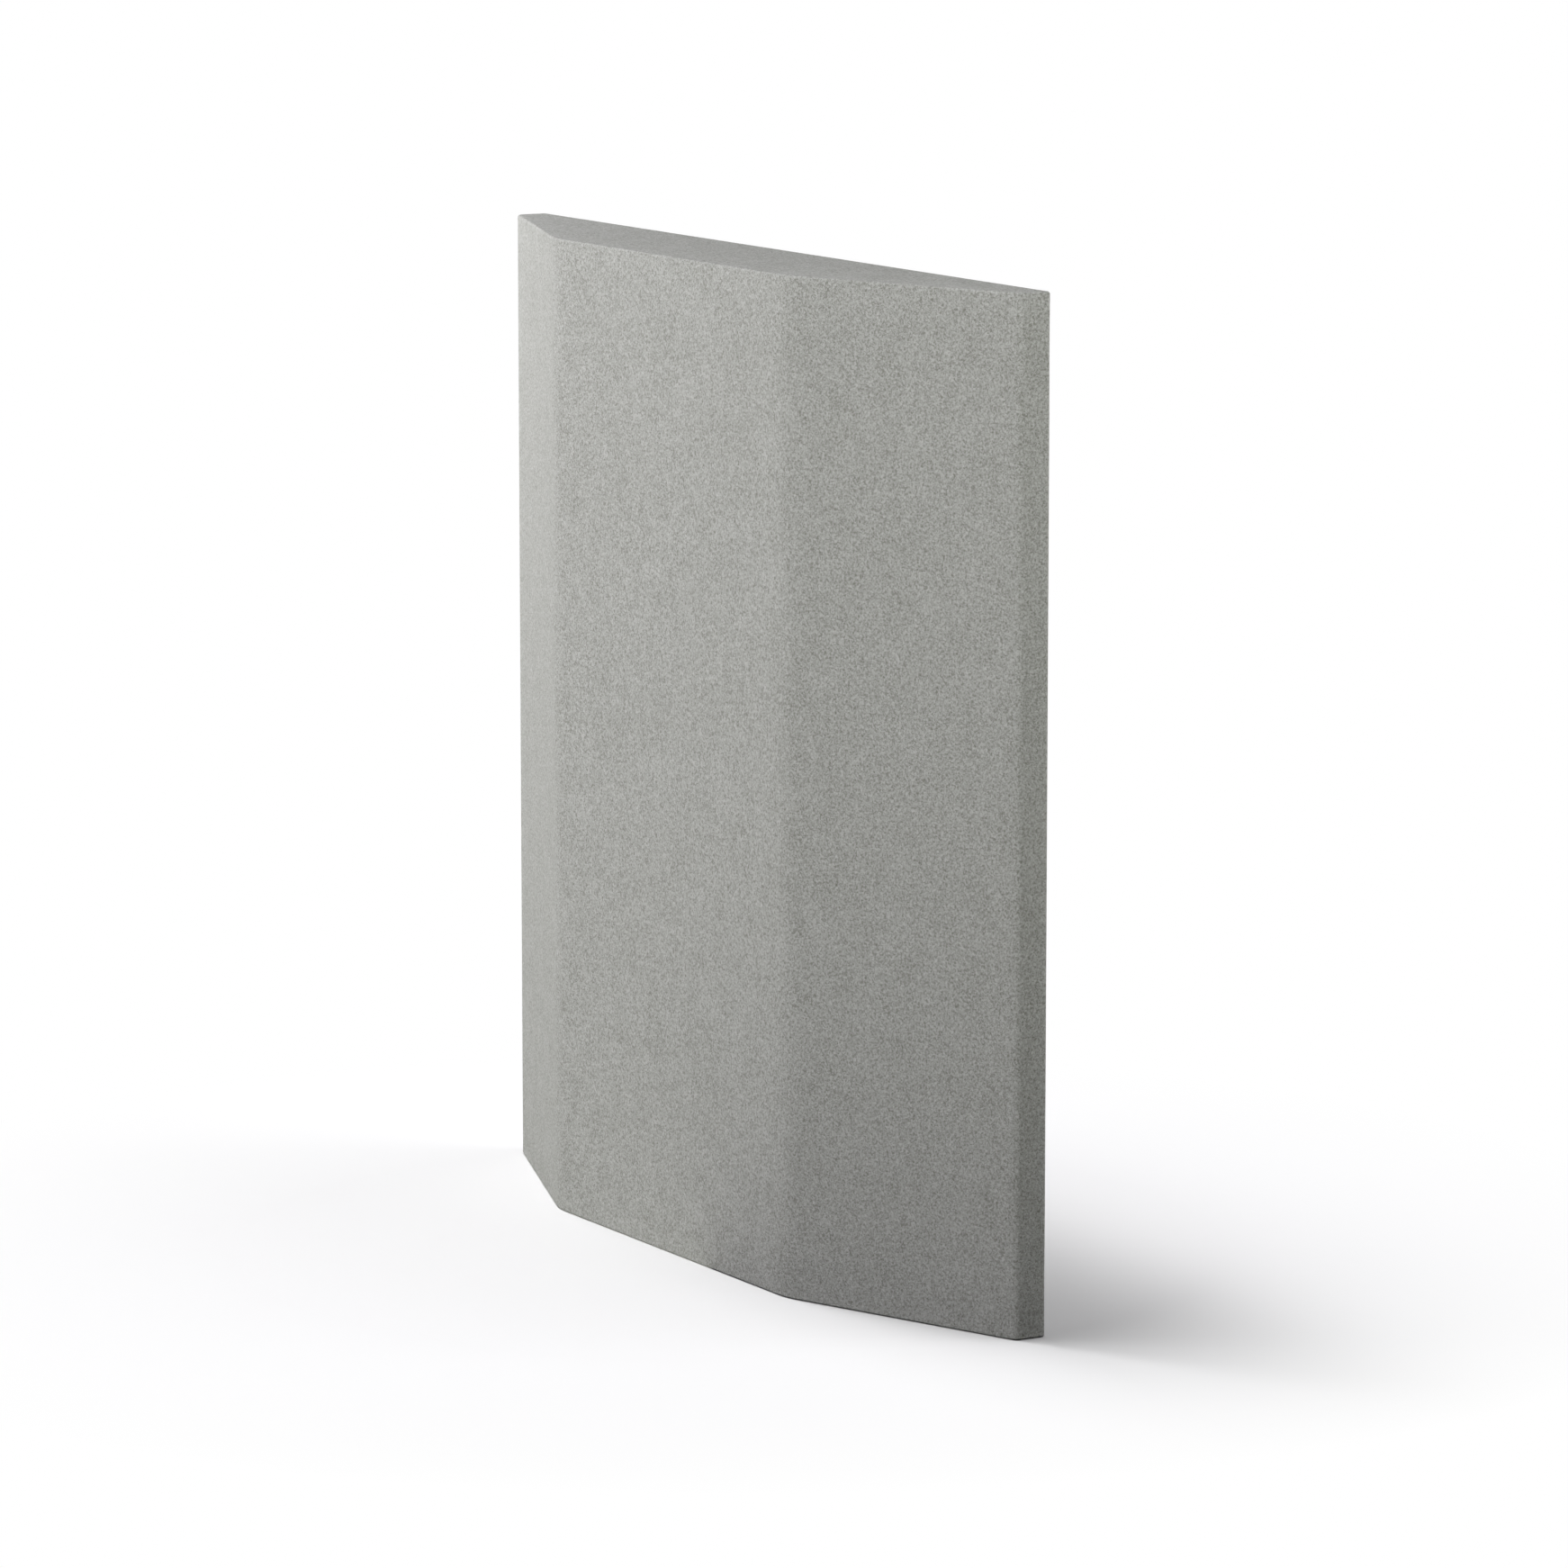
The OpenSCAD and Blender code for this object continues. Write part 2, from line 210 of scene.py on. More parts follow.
def rim(a, b):
    """Whether an edge lies level, at the very top or bottom of the form."""
    return abs(a.z - b.z) < TOUCH and min(a.z, HEIGHT - a.z) < TOUCH


rims = round_edges(form, rim, RIM_RADIUS, QUARTER, ARC_STEPS)
print("rim edges:", rims, "faces now:", len(form.data.polygons))

# %% [markdown]
# ## Cutting the felt
# On the bench the cover is three pieces: one long piece that wraps the front, the bevels and the sides, and
# a cap at each end. They meet on the middle line of each rounded rim. The same form is copied for each
# piece, the faces that belong to its neighbours are deleted, and what is left gets its thickness inwards.
# The back of the form is first cut into a fine grid, because the staples will press dimples into it.

# %% Seam lines and the grid of the hem
FACING = math.sqrt(0.5)
SEAM_DROP = RIM_RADIUS * (1 - FACING)
SQUARE_ON = 0.99
PATCHES = 15
PATCH_CUTS = 13

inner_x = HALF_WIDTH - HEM
grid_planes = [((x, 0, 0), (1, 0, 0)) for x in np.linspace(-inner_x, inner_x, PATCHES + 1)]
grid_planes += [((0, 0, z), (0, 0, 1)) for z in np.linspace(HEM, HEIGHT - HEM, PATCHES + 1)]
for point, normal in grid_planes:
    open_mesh(form, "FACE", "SELECT")
    cut(point, normal)
    close_mesh()


def choose_faces(obj, wanted):
    """Selects the faces for which wanted(centre, normal) is true, and counts them."""
    mesh = bmesh.from_edit_mesh(obj.data)
    for face in mesh.faces:
        face.select_set(bool(wanted(face.calc_center_median(), face.normal)))
    bmesh.update_edit_mesh(obj.data)
    return sum(face.select for face in mesh.faces)


def in_end_hem(centre):
    """Whether a place lies level with the hem of a cap."""
    return not HEM < centre.z < HEIGHT - HEM


def on_hem(centre, facing):
    """Whether a face lies on the back of the form, where the hem goes."""
    return facing.y > SQUARE_ON and (abs(centre.x) > inner_x or in_end_hem(centre))


open_mesh(form, "FACE")
hem_patches = choose_faces(form, on_hem)
bpy.ops.mesh.subdivide(number_cuts=PATCH_CUTS)
close_mesh()
print(hem_patches, "patches of hem, and", len(form.data.polygons), "faces in all")


# %% Cutting the three pieces
def copy_of(source, name):
    """A copy of an object with a mesh of its own."""
    made = source.copy()
    made.data = source.data.copy()
    made.name = name
    made.data.name = name
    bpy.context.scene.collection.objects.link(made)
    return made


def of_panel(centre, facing):
    """Whether a face of the form belongs to the long piece."""
    if not SEAM_DROP < centre.z < HEIGHT - SEAM_DROP:
        return False
    return facing.y < FACING or (abs(centre.x) > inner_x and not in_end_hem(centre))


def of_cap(top):
    """The test for the cap at the top or the bottom end."""
    def test(centre, facing):
        if (centre.z > HEIGHT / 2) != top:
            return False
        on_end = not SEAM_DROP < centre.z < HEIGHT - SEAM_DROP
        return on_end or (facing.y > FACING and in_end_hem(centre))
    return test


def cut_piece(name, belongs):
    """A copy of the form without the faces that belong to its neighbours."""
    piece = copy_of(form, name)
    open_mesh(piece, "FACE")
    choose_faces(piece, lambda centre, facing: not belongs(centre, facing))
    bpy.ops.mesh.delete(type="FACE")
    close_mesh()
    return piece


panel = cut_piece("felt_front_panel", of_panel)
top_cap = cut_piece("felt_top_cap", of_cap(True))
bottom_cap = cut_piece("felt_bottom_cap", of_cap(False))
bpy.data.objects.remove(form)
felt_pieces = [panel, top_cap, bottom_cap]
print({piece.name: len(piece.data.polygons) for piece in felt_pieces})

# %% [markdown]
# ## Where the staples go
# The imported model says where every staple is. A node can hold many separate solids, so this helper welds a
# copy of its mesh, follows the edges from corner to corner, and gives the box of each solid.

# %% Places of the staples
WELD = 0.001 * MM
SORT_DIGITS = 4


def solids_of(node):
    """The lowest and highest corner of each separate solid in a CAD node."""
    mesh = bmesh.new()
    mesh.from_mesh(nodes[node].data)
    bmesh.ops.remove_doubles(mesh, verts=mesh.verts, dist=WELD)
    left = set(mesh.verts)
    boxes = []
    while left:
        reached = [left.pop()]
        for vert in reached:
            for edge in vert.link_edges:
                other = edge.other_vert(vert)
                if other in left:
                    left.remove(other)
                    reached.append(other)
        places = np.array([vert.co for vert in reached])
        boxes.append((Vector(places.min(0)), Vector(places.max(0))))
    mesh.free()
    return sorted(boxes, key=lambda box: tuple(round(v, SORT_DIGITS) for v in box[0]))


hem_boxes = solids_of("cover_staples")
dust_boxes = solids_of("dust_cover_staples")
print(len(hem_boxes), "staples in the hem,", len(dust_boxes), "in the dust cover")

# %% [markdown]
# ## Pressing the felt
# A staple pulls its crown into the felt, and the felt swells a little between staples. Each point of the
# hem sinks by an amount that fades with its distance from the nearest crown. Moving points in code is the
# quick way to sculpt a thing that repeats many times.

# %% Dimples and a soft edge
DIMPLE_DEPTH = 0.5 * MM
DIMPLE_REACH = 3.2 * MM
SWELL = 0.12 * MM
SWELL_LENGTH = 11.5 * MM
SWELL_SHIFT = 1.0
FAR_AWAY = 1.0


def points_of(obj):
    """The places of all points of a mesh, one row each."""
    places = np.empty(len(obj.data.vertices) * 3)
    obj.data.vertices.foreach_get("co", places)
    return places.reshape(-1, 3)


def put_points(obj, places):
    """Moves all points of a mesh to new places."""
    obj.data.vertices.foreach_set("co", places.ravel())
    obj.data.update()


def crown_distance(places, boxes):
    """How far each point is from the nearest staple's crown, across the plane of the back."""
    nearest = np.full(len(places), FAR_AWAY)
    for low, high in boxes:
        across_x = np.maximum(np.maximum(low.x - places[:, 0], places[:, 0] - high.x), 0)
        across_z = np.maximum(np.maximum(low.z - places[:, 2], places[:, 2] - high.z), 0)
        nearest = np.minimum(nearest, np.hypot(across_x, across_z))
    return nearest


for piece in felt_pieces:
    places = points_of(piece)
    on_back = places[:, 1] > BACK - NEAR
    sink = DIMPLE_DEPTH * np.exp(-((crown_distance(places, hem_boxes) / DIMPLE_REACH) ** 2))
    inset = np.minimum(HALF_WIDTH - abs(places[:, 0]), np.minimum(places[:, 2], HEIGHT - places[:, 2]))
    waves = np.sin(places[:, 0] / SWELL_LENGTH) * np.sin(places[:, 2] / SWELL_LENGTH + SWELL_SHIFT)
    fade = np.clip(inset / (HEM / 2), 0, 1)
    places[on_back, 1] -= (sink + SWELL * fade * (1 + waves) / 2)[on_back]
    put_points(piece, places)
    print(piece.name, "sinks by up to", round((BACK - places[on_back, 1].min()) / MM, 2), "mm")

# %% [markdown]
# ## Seams and thickness
# The open edge of each piece is drawn in a little, which leaves a fine line where two pieces meet. Solidify
# then gives the felt its thickness, inwards, so that the outside keeps its size.

# %% Thickness of the felt
SEAM_DEPTH = 0.12 * MM
SMOOTH_ANGLE = math.radians(35)


def apply_modifiers(obj):
    """Makes the shapes of all modifiers real, from the first to the last."""
    pick(obj)
    for modifier in list(obj.modifiers):
        bpy.ops.object.modifier_apply(modifier=modifier.name)


def smooth(obj):
    """Shades an object smooth, except across its sharp edges."""
    pick(obj)
    bpy.ops.object.shade_smooth_by_angle(angle=SMOOTH_ANGLE)


for piece in felt_pieces:
    open_mesh(piece, "EDGE")
    bpy.ops.mesh.select_non_manifold(extend=False)
    bpy.ops.transform.shrink_fatten(value=-SEAM_DEPTH)
    close_mesh()
    wall = piece.modifiers.new("thickness", "SOLIDIFY")
    wall.thickness = FELT
    wall.offset = -1
    wall.use_even_offset = True
    apply_modifiers(piece)
    smooth(piece)
    print(piece.name, len(piece.data.polygons), "faces")

# %% [markdown]
# ## Staples
# A staple is one length of flat wire, bent twice. The crown starts as a box, its two ends are cut off and
# pulled down into legs, and every edge is rounded, because drawn wire has no sharp edges. One staple is
# made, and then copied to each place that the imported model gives, turned a degree or so as a staple gun does.

# %% One staple
WIRE_STEPS = 2
WIRE_ROUND = 0.16 * MM
WIRE_FLATNESS = 6 / 7
STAPLE_LEAN = math.radians(1.5)


def staple_like(name, box, crown_y):
    """A staple with its crown along X, centred on the Z axis, with the outer face of its crown at crown_y."""
    low, high = box
    width = max(high.x - low.x, high.z - low.z)
    wire = min(high.x - low.x, high.z - low.z)
    thick = wire * WIRE_FLATNESS
    leg = high.y - low.y - thick
    made = block(name, (-width / 2, crown_y - thick, -wire / 2), (width / 2, crown_y, wire / 2))
    for side in (-1, 1):
        open_mesh(made, "FACE", "SELECT")
        cut((side * (width / 2 - thick), 0, 0), (1, 0, 0))
        close_mesh()
    open_mesh(made, "FACE")
    choose_faces(made, lambda c, facing: facing.y < -SQUARE_ON and abs(c.x) > width / 2 - thick)
    bpy.ops.mesh.extrude_region_move(TRANSFORM_OT_translate={"value": (0, -leg, 0)})
    close_mesh()
    edge = made.modifiers.new("drawn edge", "BEVEL")
    edge.width = WIRE_ROUND
    edge.segments = WIRE_STEPS
    apply_modifiers(made)
    return made


# %% Rows of staples
def staple_row(name, boxes, crown_y, seed):
    """One piece that holds a staple at the middle of each box."""
    pattern = staple_like(name + "_pattern", boxes[0], crown_y)
    chance = np.random.default_rng(seed)
    row = []
    for low, high in boxes:
        made = copy_of(pattern, name)
        upright = high.z - low.z > high.x - low.x
        lean = chance.uniform(-STAPLE_LEAN, STAPLE_LEAN)
        turn = QUARTER * upright + lean
        open_mesh(made, "VERT", "SELECT")
        bpy.ops.transform.rotate(value=turn, orient_axis="Y", center_override=(0, 0, 0))
        bpy.ops.transform.translate(value=((low.x + high.x) / 2, 0, (low.z + high.z) / 2))
        close_mesh()
        row.append(made)
    bpy.data.objects.remove(pattern)
    pick(row[0])
    for made in row:
        made.select_set(True)
    bpy.ops.object.join()
    joined = bpy.context.object
    joined.name = name
    smooth(joined)
    return joined


hem_staples = staple_row("hem_staples", hem_boxes, BACK, seed=3)
dust_staples = staple_row("dust_cover_staple_row", dust_boxes, dust_high.y, seed=5)
for row in (hem_staples, dust_staples):
    print(row.name, len(row.data.polygons), "faces")

# %% [markdown]
# ## The dust cover
# A thin black non-woven cloth closes the back. It laps the raw edge of the hem, so it steps down from the
# felt to the frame, and it is a little slack between its staples. It starts as a grid of small squares, the
# step and the slack are pressed into it, and the two keyhole openings are cut out with a boolean.

# %% Sheet with a step
DUST_STEPS = 137
STEP_RUN = 3 * MM
CURL = 0.28 * MM
CURL_REACH = 7 * MM
CURL_CALM = 20 * MM
SLACK = 0.3 * MM
DUST_DIMPLE = 0.22 * MM
DUST_DIMPLE_REACH = 2.6 * MM
CALM_RADIUS = 45 * MM

half_dust = HALF_WIDTH - DUST_INSET
bpy.ops.object.select_all(action="DESELECT")
bpy.ops.mesh.primitive_grid_add(
    x_subdivisions=DUST_STEPS, y_subdivisions=DUST_STEPS, size=2 * half_dust,
    location=(0, 0, HEIGHT / 2), rotation=(-QUARTER, 0, 0),
)
dust_cover = bpy.context.object
dust_cover.name = "non_woven_dust_cover"
bpy.ops.object.transform_apply(location=True, rotation=True, scale=True)
square = 2 * half_dust / DUST_STEPS
print("dust cover:", len(dust_cover.data.polygons), "squares, each", round(square / MM, 1), "mm")


# %% Step, slack and dimples
def ease(values):
    """A smooth step from 0 to 1."""
    held = np.clip(values, 0, 1)
    return held * held * (3 - 2 * held)


def ripples(x, z):
    """A lazy ripple from -1 to 1 that never quite repeats."""
    along_x = np.sin(x * 31 + 2 * np.sin(z * 17))
    along_z = np.sin(z * 23 + 1.5 * np.sin(x * 13))
    return along_x * along_z


hanger_boxes = [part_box("hanger_plate_left"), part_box("hanger_plate_right")]
hanger_middles = [(low + high) / 2 for low, high in hanger_boxes]
places = points_of(dust_cover)
x, z = places[:, 0].copy(), places[:, 2].copy()
inset = np.minimum(HALF_WIDTH - abs(x), np.minimum(z, HEIGHT - z))
inside = ease((inset - HEM) / STEP_RUN)
to_crown = crown_distance(places, dust_boxes)
calm = np.ones(len(x))
for middle in hanger_middles:
    calm = np.minimum(calm, ease((np.hypot(x - middle.x, z - middle.z) - CALM_RADIUS) / CALM_RADIUS))
edge_curl = CURL * np.exp(-((inset - DUST_INSET) / CURL_REACH) ** 2) * ease(to_crown / CURL_CALM)
slack = SLACK * inside * calm * (0.5 + 0.5 * ripples(x, z))
press = DUST_DIMPLE * np.exp(-((to_crown / DUST_DIMPLE_REACH) ** 2))
places[:, 1] = BACK + DUST_THICKNESS - inside * (BACK - FRAME_BACK) + edge_curl + slack - press
print("most slack", round(slack.max() / MM, 2), "mm, deepest dimple", round(press.max() / MM, 2), "mm")

# %% A hand-cut edge
EDGE_TRIM = 0.4 * MM
EDGE_WAVE = 0.35 * MM

trim = EDGE_TRIM + EDGE_WAVE * np.sin(x * 41 + z * 29)
on_side = abs(x) > half_dust - NEAR
on_end = (z < DUST_INSET + NEAR) | (z > HEIGHT - DUST_INSET - NEAR)
places[on_side, 0] -= (np.sign(x) * trim)[on_side]
places[on_end, 2] -= (np.sign(z - HEIGHT / 2) * trim)[on_end]
put_points(dust_cover, places)
print("edge cut back by up to", round(trim.max() / MM, 2), "mm")

# %% Thickness and keyhole openings
CUTTER_SIDES = 48
CUTTER_LENGTH = 10 * MM
POCKET_GAP = 1.0 * MM
ENTRY_RADIUS = 5.0 * MM
DROP = 8.0 * MM


def pocket_cutter(middle):
    """An upright slot with round ends, long enough along Y to go through the sheet."""
    reach = ENTRY_RADIUS + POCKET_GAP
    bpy.ops.object.select_all(action="DESELECT")
    bpy.ops.mesh.primitive_cylinder_add(
        vertices=CUTTER_SIDES, radius=reach, depth=CUTTER_LENGTH,
        location=(middle.x, FRAME_BACK, middle.z), rotation=(QUARTER, 0, 0),
    )
    cutter = bpy.context.object
    bpy.ops.object.transform_apply(location=True, rotation=True, scale=True)
    for side in (-1, 1):
        open_mesh(cutter, "VERT")
        mesh = bmesh.from_edit_mesh(cutter.data)
        for vert in mesh.verts:
            vert.select_set(side * (vert.co.z - middle.z) > TOUCH)
        mesh.select_flush_mode()
        bmesh.update_edit_mesh(cutter.data)
        bpy.ops.transform.translate(value=(0, 0, side * DROP / 2))
        close_mesh()
    return cutter


pick(dust_cover)
wall = dust_cover.modifiers.new("thickness", "SOLIDIFY")
wall.thickness = DUST_THICKNESS
wall.offset = -1
apply_modifiers(dust_cover)
for middle in hanger_middles:
    cutter = pocket_cutter(middle)
    opening = dust_cover.modifiers.new("keyhole opening", "BOOLEAN")
    opening.operation = "DIFFERENCE"
    opening.object = cutter
    apply_modifiers(dust_cover)
    bpy.data.objects.remove(cutter)
smooth(dust_cover)
print("finished sheet:", len(dust_cover.data.polygons), "faces")

# %% [markdown]
# ## Hangers, screws and pads
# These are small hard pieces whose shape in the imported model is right, except that no real edge is perfectly
# sharp. A copy of each is welded, its flat faces are joined again, and its edges are broken with a small
# bevel, which is what catches the light. The outer face of a pad also gets the round groove of its mould, by
# four insets, of which the second goes down and the last comes up again.

# %% Broken edges
FLAT_ANGLE = math.radians(1)
EDGE_ANGLE = math.radians(28)
PLATE_EDGE = 0.25 * MM
SCREW_EDGE = 0.08 * MM


def broken_edges(node, name, width, steps=2):
    """A copy of a CAD node with small rounds on its sharp edges."""
    made = copy_of(nodes[node], name)
    made.parent = None
    for key in list(made.keys()):
        del made[key]
    open_mesh(made, "VERT", "SELECT")
    bpy.ops.mesh.remove_doubles(threshold=WELD)
    bpy.ops.mesh.dissolve_limited(angle_limit=FLAT_ANGLE)
    close_mesh()
    edge = made.modifiers.new("broken edge", "BEVEL")
    edge.width = width
    edge.segments = steps
    edge.limit_method = "ANGLE"
    edge.angle_limit = EDGE_ANGLE
    apply_modifiers(made)
    smooth(made)
    return made


left_plate = broken_edges("hanger_plate_left", "keyhole_plate_left", PLATE_EDGE)
right_plate = broken_edges("hanger_plate_right", "keyhole_plate_right", PLATE_EDGE)
plate_screws = broken_edges("hanger_screws", "keyhole_plate_screws", SCREW_EDGE)
for made in (left_plate, right_plate, plate_screws):
    print(made.name, len(made.data.polygons), "faces")

# %% Moulded pads
PAD_RIM = 0.45 * MM
PAD_STEPS = 4
PAD_LAND = 1.3 * MM
GROOVE = 0.35 * MM
PAD_INSETS = [(PAD_LAND, 0), (GROOVE, -GROOVE), (GROOVE, 0), (GROOVE, GROOVE)]

pad_middles = [(low + high) / 2 for low, high in solids_of("wall_pads")]


def mid_pad(centre, facing):
    """Whether a face is the disc in the middle of a pad's outer face."""
    off = min(math.hypot(centre.x - middle.x, centre.z - middle.z) for middle in pad_middles)
    return facing.y > SQUARE_ON and off < NEAR


pads = broken_edges("wall_pads", "moulded_wall_pads", PAD_RIM, PAD_STEPS)
for inset_width, sink in PAD_INSETS:
    open_mesh(pads, "FACE")
    choose_faces(pads, mid_pad)
    bpy.ops.mesh.inset(thickness=inset_width, depth=sink)
    close_mesh()
smooth(pads)
print(pads.name, len(pads.data.polygons), "faces")

# %% [markdown]
# ## Finishes
# Every material is a Principled shader whose colour, roughness and bump come from patterns. The patterns
# read object coordinates in metres, so a millimetre in the code is a millimetre on the piece, and a pattern
# runs on without a break from one face to the next. A helper adds one node and wires it up, and a small
# class gives each pattern its name.

# %% A helper for nodes
def wire(tree, kind, feeds, **settings):
    """Adds a node. feeds maps its input sockets to values or to other nodes' outputs."""
    made = tree.nodes.new("ShaderNode" + kind)
    for key, value in settings.items():
        setattr(made, key, value)
    for socket, value in feeds.items():
        if isinstance(value, bpy.types.NodeSocket):
            tree.links.new(value, made.inputs[socket])
        else:
            made.inputs[socket].default_value = value
    return made


# %% A class for finishes
class Finish:
    """A material under construction."""

    def __init__(self, name, rough, metal=0.0):
        self.material = bpy.data.materials.new(name)
        self.material.use_nodes = True
        self.tree = self.material.node_tree
        self.shader = self.tree.nodes["Principled BSDF"]
        self.shader.inputs["Roughness"].default_value = rough
        self.shader.inputs["Metallic"].default_value = metal
        self.place = self.node("TexCoord", {}).outputs["Object"]

    def node(self, kind, feeds, **settings):
        return wire(self.tree, kind, feeds, **settings)

    def noise(self, size, detail=2.0, rough=0.5, warp=0.0, stretch=(1, 1, 1), shift=(0, 0, 0)):
        """A cloudy value from 0 to 1, with blotches of about that size in metres."""
        scale = tuple(1 / (size * s) for s in stretch)
        spot = self.node("Mapping", {"Vector": self.place, "Scale": scale, "Location": shift}).outputs[0]
        feeds = {"Vector": spot, "Scale": 1.0, "Detail": detail, "Roughness": rough, "Distortion": warp}
        return self.node("TexNoise", feeds).outputs["Fac"]

    def math(self, operation, a, b=0.0, c=0.0):
        """Sums on patterns. MULTIPLY_ADD gives a * b + c."""
        return self.node("Math", {0: a, 1: b, 2: c}, operation=operation).outputs[0]

    def ramp(self, value, *stops):
        """Turns a value into a colour. A stop is a place from 0 to 1 and a colour."""
        made = self.node("ValToRGB", {"Fac": value})
        marks = made.color_ramp.elements
        while len(marks) < len(stops):
            marks.new(1.0)
        for mark, (place, colour) in zip(marks, stops):
            mark.position = place
            mark.color = (*colour, 1.0)
        return made.outputs["Color"]

    def mix(self, share, a, b, how="MIX"):
        """Blends two colours. share may be a value or a pattern."""
        feeds = {0: share, 6: a, 7: b}
        return self.node("Mix", feeds, data_type="RGBA", blend_type=how).outputs[2]

    def grey(self, value, low, high, dark=0.0, light=1.0):
        """Stretches the part of a value between low and high to run from dark to light."""
        feeds = {"Value": value, "From Min": low, "From Max": high, "To Min": dark, "To Max": light}
        return self.node("MapRange", feeds).outputs["Result"]

    def bump(self, height, depth, under=None):
        """Turns a pattern into relief of that depth, on top of the relief under it."""
        feeds = {"Height": height, "Strength": 1.0, "Distance": depth}
        if under is not None:
            feeds["Normal"] = under
        return self.node("Bump", feeds).outputs["Normal"]

    def finish(self, colour, rough, normal):
        """Joins the patterns to the shader, and hands over the material."""
        self.tree.links.new(colour, self.shader.inputs["Base Color"])
        self.tree.links.new(rough, self.shader.inputs["Roughness"])
        self.tree.links.new(normal, self.shader.inputs["Normal"])
        print(self.material.name, "has", len(self.tree.nodes), "nodes")
        return self.material


# %% [markdown]
# ### Melange felt
# The wool is dyed before it is felted, in a light grey and a dark olive grey, so the cloth shows short
# curled flecks of both. A warped noise makes the flecks, and the thin lines where a second noise crosses
# its middle value make single fibres. Slow clouds make some areas a little lighter, as handling does. A
# touch of sheen is the loose fluff, which shows where the felt is seen edge on.

# %% Felt
FLECK = 1.35 * MM
FIBRE = 2.0 * MM
CLOUD = 17 * MM
FUZZ = 0.5 * MM
FIBRE_SHARE = 0.10
CLOUD_SHARE = 0.07
FLECK_RELIEF = 0.5 * MM
FUZZ_RELIEF = 0.05 * MM
FELT_DARK = (0.196, 0.197, 0.173)
FELT_MIDDLE = (0.347, 0.3465, 0.334)
FELT_LIGHT = (0.504, 0.503, 0.498)


def felt():
    made = Finish("melange_felt", rough=0.9)
    flecks = made.noise(FLECK, detail=4.0, rough=0.74, warp=0.7)
    lines = made.noise(FIBRE, detail=2.0, rough=0.6, warp=1.3, shift=(7, 3, 5))
    fibres = made.grey(made.math("ABSOLUTE", made.math("SUBTRACT", lines, 0.5)), 0.0, 0.05, 1.0, 0.0)
    clouds = made.noise(CLOUD, detail=2.0, shift=(2, 9, 4))
    wool = made.math("MULTIPLY_ADD", fibres, FIBRE_SHARE, flecks)
    wool = made.math("MULTIPLY_ADD", clouds, CLOUD_SHARE, wool)
    colour = made.ramp(wool, (0.41, FELT_DARK), (0.545, FELT_MIDDLE), (0.69, FELT_LIGHT))
    fuzz = made.noise(FUZZ, detail=2.0, shift=(1, 1, 8))
    normal = made.bump(wool, FLECK_RELIEF, made.bump(fuzz, FUZZ_RELIEF))
    made.shader.inputs["Specular IOR Level"].default_value = 0.15
    made.shader.inputs["Sheen Weight"].default_value = 0.12
    made.shader.inputs["Sheen Roughness"].default_value = 0.6
    made.shader.inputs["Sheen Tint"].default_value = (0.9, 0.9, 0.88, 1)
    return made.finish(colour, made.grey(flecks, 0.3, 0.7, 0.82, 0.98), normal)


felt_finish = felt()

# %% [markdown]
# ### Spun-bonded dust cloth
# The cloth is made of fine black filaments that are fused in a pattern of small pressed dots. Two sine
# waves across each other give the dots, a stretched noise gives the filaments, and each dot is a little
# shinier than the cloth around it.

# %% Dust cloth
BOND_PITCH = 1.6 * MM
FILAMENT = 0.8 * MM
MOTTLE = 14 * MM
CLOTH_RELIEF = 0.12 * MM
CLOTH_DARK = (0.012, 0.012, 0.013)
CLOTH_MIDDLE = (0.03, 0.03, 0.032)
CLOTH_LIGHT = (0.075, 0.075, 0.08)


def dust_cloth():
    made = Finish("spun_bonded_dust_cloth", rough=0.8)
    across = made.node("SeparateXYZ", {"Vector": made.place})
    turn = 2 * math.pi / BOND_PITCH
    wave_x = made.math("SINE", made.math("MULTIPLY", across.outputs["X"], turn))
    wave_z = made.math("SINE", made.math("MULTIPLY", across.outputs["Z"], turn))
    dots = made.grey(made.math("MULTIPLY", wave_x, wave_z), 0.55, 0.8)
    filaments = made.noise(FILAMENT, detail=4.0, rough=0.7, warp=1.6, stretch=(1, 1, 2.5))
    clouds = made.noise(MOTTLE, detail=3.0, rough=0.6)
    mottled = made.math("MULTIPLY_ADD", clouds, 0.25, made.math("MULTIPLY", filaments, 0.6))
    colour = made.ramp(mottled, (0.25, CLOTH_DARK), (0.43, CLOTH_MIDDLE), (0.65, CLOTH_LIGHT))
    colour = made.mix(made.math("MULTIPLY", dots, 0.55), colour, (*CLOTH_DARK, 1))
    height = made.math("MULTIPLY_ADD", dots, -0.8, filaments)
    rough = made.grey(dots, 0, 1, 0.85, 0.45)
    return made.finish(colour, rough, made.bump(height, CLOTH_RELIEF))


dust_finish = dust_cloth()

# %% [markdown]
# ### Wood
# Plywood shows long grain on its faces and thin plies of changing tone on its edges. The plies lie across
# the thickness of the board, so one material serves a rail and a stile when it is told which way the grain
# and the plies run. Beech is denser, pinker and full of short dark flecks.

# %% Plywood
PLY = 1.5 * MM
GRAIN_LENGTH = 14.0
PLY_RING = 6 * MM
PLY_PORE = 0.7 * MM
PLY_RELIEF = 0.08 * MM
PLY_DARK = (0.50, 0.33, 0.17)
PLY_MIDDLE = (0.64, 0.46, 0.26)
PLY_LIGHT = (0.74, 0.57, 0.36)
PORE_BROWN = (0.30, 0.19, 0.10)


